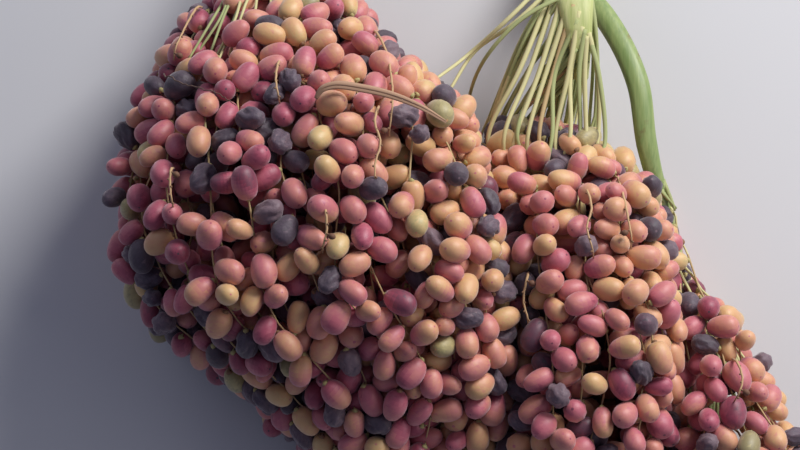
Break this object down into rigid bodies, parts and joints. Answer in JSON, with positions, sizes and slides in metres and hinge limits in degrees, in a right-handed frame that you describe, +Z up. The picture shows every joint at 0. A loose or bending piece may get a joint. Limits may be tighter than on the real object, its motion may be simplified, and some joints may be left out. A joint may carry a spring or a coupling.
{
  "type": "cut date fruit bunches",
  "caption": "Date palm fruit bunches as cut, lying side by side: dense heaps of ripening dates on strands that fan from flattened stalks.",
  "frame": {"origin": "on the floor, under the middle of the whole set of bunches", "axes": "+Z up from the floor, +Y from the fruit tips towards the cut ends of the stalks, +X to the right of a viewer who looks down with the stalks at the top"},
  "size_m": [0.8351, 0.9481, 0.3489],
  "materials": {
    "red_dates": "satin",
    "amber_dates": "satin",
    "pale_stalk": "satin",
    "green_stalk": "satin"
  },
  "bodies": {
    "root": {"left_hank_1": "red_dates", "left_hank_2": "red_dates", "left_hank_3": "red_dates", "left_hank_4": "red_dates", "left_hank_5": "red_dates", "middle_hank_1": "amber_dates", "middle_hank_2": "amber_dates", "right_hank_1": "amber_dates", "right_hank_2": "amber_dates", "left_stalk": "pale_stalk", "middle_stalk": "pale_stalk", "right_stalk": "green_stalk"}
  },
  "joints": []
}
